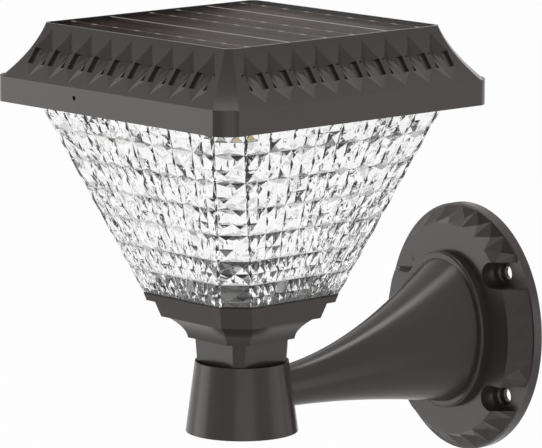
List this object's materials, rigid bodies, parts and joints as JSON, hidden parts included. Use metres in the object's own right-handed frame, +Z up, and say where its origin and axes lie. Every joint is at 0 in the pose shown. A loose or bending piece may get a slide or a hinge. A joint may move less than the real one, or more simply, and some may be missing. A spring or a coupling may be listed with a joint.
{
  "type": "solar fence light",
  "caption": "Wall-mounted solar fence light: oval wall plate, flared arm and socket cup carrying a tapering square faceted lens under an overhanging cap with a flat solar panel.",
  "frame": {"origin": "on the wall, at the centre of the wall plate's back face", "axes": "+Y points into the wall, +X runs along the wall, +Z points up; the lamp's upright axis stands 147 mm in front of the wall on the -Y side"},
  "size_m": [0.165, 0.2295, 0.2201],
  "materials": {
    "dark_plastic": "satin moulded plastic, warm near-black",
    "screw_steel": "zinc plated",
    "seal_rubber": "matte",
    "clear_lens": "clear moulded, cut-glass facets",
    "light_pipe": "frosted",
    "white_reflector": "glossy white",
    "white_board": "white solder mask",
    "led_yellow": "phosphor",
    "green_board": "green solder mask",
    "black_parts": "matte",
    "battery_sleeve": "shrink sleeve",
    "button_rubber": "matte",
    "panel_backsheet": "matte",
    "silicon_cells": "dark silicon",
    "ribbon_metal": "tinned ribbon",
    "panel_glass": "flat glossy"
  },
  "bodies": {
    "bracket": {"wall_plate": "dark_plastic", "bracket_arm": "dark_plastic", "arm_screws": "screw_steel", "socket_cup": "dark_plastic", "cup_screw": "screw_steel"},
    "head": {"neck_plug": "dark_plastic", "base_pan": "dark_plastic", "base_hub": "dark_plastic", "neck_bolt": "screw_steel", "neck_nut": "screw_steel", "foot_seal_ring": "seal_rubber", "foot_reflector": "white_reflector", "lens": "clear_lens"},
    "cap": {"lens_rim_seal": "seal_rubber", "roof_shell": "dark_plastic", "status_pipe": "light_pipe", "cap_tray": "dark_plastic", "tray_seal": "seal_rubber", "tray_screws": "screw_steel", "reflector": "white_reflector", "led_board": "white_board", "leds": "led_yellow", "led_screws": "screw_steel", "control_board": "green_board", "board_parts": "black_parts", "board_screws": "screw_steel", "battery_holder": "black_parts", "battery_cell": "battery_sleeve", "switch_body": "black_parts", "solar_backsheet": "panel_backsheet", "solar_cells": "silicon_cells", "cell_ribbons": "ribbon_metal", "solar_glass": "panel_glass"},
    "button": {"power_button": "button_rubber"}
  },
  "joints": [
    {"name": "head_lift", "type": "slide", "parent": "bracket", "child": "head", "axis": [0, 0, 1], "range_m": [0, 0.03]},
    {"name": "cap_lift", "type": "slide", "parent": "head", "child": "cap", "axis": [0, 0, 1], "range_m": [0, 0.03]},
    {"name": "button_press", "type": "slide", "parent": "cap", "child": "button", "axis": [0, 0, 1], "range_m": [0, 0.0015], "stiffness_N_per_m": 300, "springref_m": -0.0005}
  ]
}
